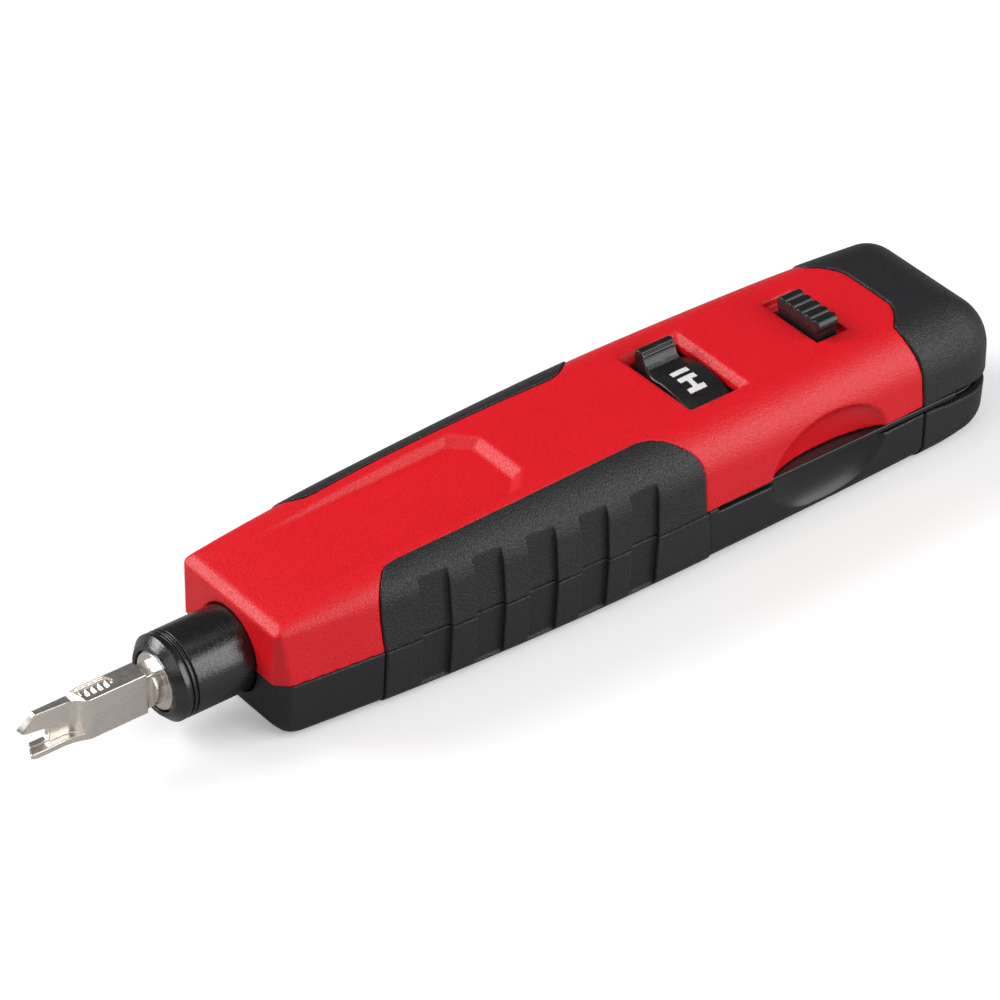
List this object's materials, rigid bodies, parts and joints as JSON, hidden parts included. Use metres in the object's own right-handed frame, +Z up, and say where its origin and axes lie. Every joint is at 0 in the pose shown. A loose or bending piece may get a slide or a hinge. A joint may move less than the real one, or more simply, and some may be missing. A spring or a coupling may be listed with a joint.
{
  "type": "punch down tool",
  "caption": "Handheld punch down tool with a rounded two-part handle, textured side grips, a sprung plunger with a notched blade, an impact selector, a lock slide and a fold-out pick.",
  "frame": {"origin": "middle of the bounding box of the whole tool, on the plane of its flat underside", "axes": "+X along the plunger towards the rear of the handle, blade tip at -X, +Z up out of the selector and lock slide, +Y to the side away from the fold-out pick"},
  "size_m": [0.1772, 0.0354, 0.027],
  "materials": {
    "red_plastic": "fine grain",
    "charcoal_plastic": "fine grain",
    "grip_rubber": "speckled satin",
    "gloss_black": "polished",
    "black_oxide": "satin",
    "nickel": "bright, fine brushed",
    "steel": "satin",
    "acetal": "smooth"
  },
  "bodies": {
    "housing": {"upper_shell": "red_plastic", "lower_shell": "charcoal_plastic", "grip_upper_near": "grip_rubber", "grip_upper_far": "grip_rubber", "grip_lower_near": "grip_rubber", "grip_lower_far": "grip_rubber", "end_cap_upper": "grip_rubber", "end_cap_lower": "grip_rubber", "guide_bush": "acetal", "guide_tube": "steel", "main_spring": "steel", "dial_detent_spring": "steel", "latch_spring": "steel", "pick_pivot_pin": "steel", "screw_front_near": "steel", "screw_front_far": "steel", "screw_mid_near": "steel", "screw_mid_far": "steel", "screw_rear": "steel"},
    "plunger": {"plunger_sleeve": "black_oxide", "blade_socket": "nickel", "plunger_stem": "steel"},
    "retainer": {"blade_retainer": "steel"},
    "blade": {"blade": "nickel"},
    "hammer": {"hammer": "steel", "trip_pin": "steel"},
    "dial": {"impact_dial": "gloss_black"},
    "seat": {"spring_seat": "acetal"},
    "latch": {"latch_slide": "charcoal_plastic"},
    "pick": {"pick_hook": "black_oxide"}
  },
  "joints": [
    {"name": "plunger_stroke", "type": "slide", "parent": "housing", "child": "plunger", "axis": [1, 0, 0], "range_m": [0, 0.011], "deforming": ["main_spring"]},
    {"name": "blade_twist", "type": "hinge", "parent": "plunger", "child": "retainer", "pos_m": [-0.052, 0, 0.01095], "axis": [1, 0, 0], "range_deg": [0, 90]},
    {"name": "blade_pull", "type": "slide", "parent": "retainer", "child": "blade", "axis": [-1, 0, 0], "range_m": [0, 0.018]},
    {"name": "hammer_travel", "type": "slide", "parent": "housing", "child": "hammer", "axis": [1, 0, 0], "range_m": [0, 0.011], "deforming": ["main_spring"]},
    {"name": "impact_select", "type": "hinge", "parent": "housing", "child": "dial", "pos_m": [0.035, 0, 0.01095], "axis": [1, 0, 0], "range_deg": [0, 32]},
    {"name": "preload_shift", "type": "slide", "parent": "housing", "child": "seat", "axis": [1, 0, 0], "range_m": [0, 0.002], "deforming": ["main_spring"]},
    {"name": "lock_slide", "type": "slide", "parent": "housing", "child": "latch", "axis": [0, 1, 0], "range_m": [0, 0.003], "deforming": ["latch_spring"]},
    {"name": "pick_swing", "type": "hinge", "parent": "housing", "child": "pick", "pos_m": [0.07377, -0.011, 0.0102], "axis": [0, 0, 1], "range_deg": [0, 180]}
  ],
  "couplings": [
    {"joint": "hammer_travel", "follows": "plunger_stroke", "ratio": 1},
    {"joint": "preload_shift", "follows": "impact_select", "m_per_rad": 0.00357}
  ]
}
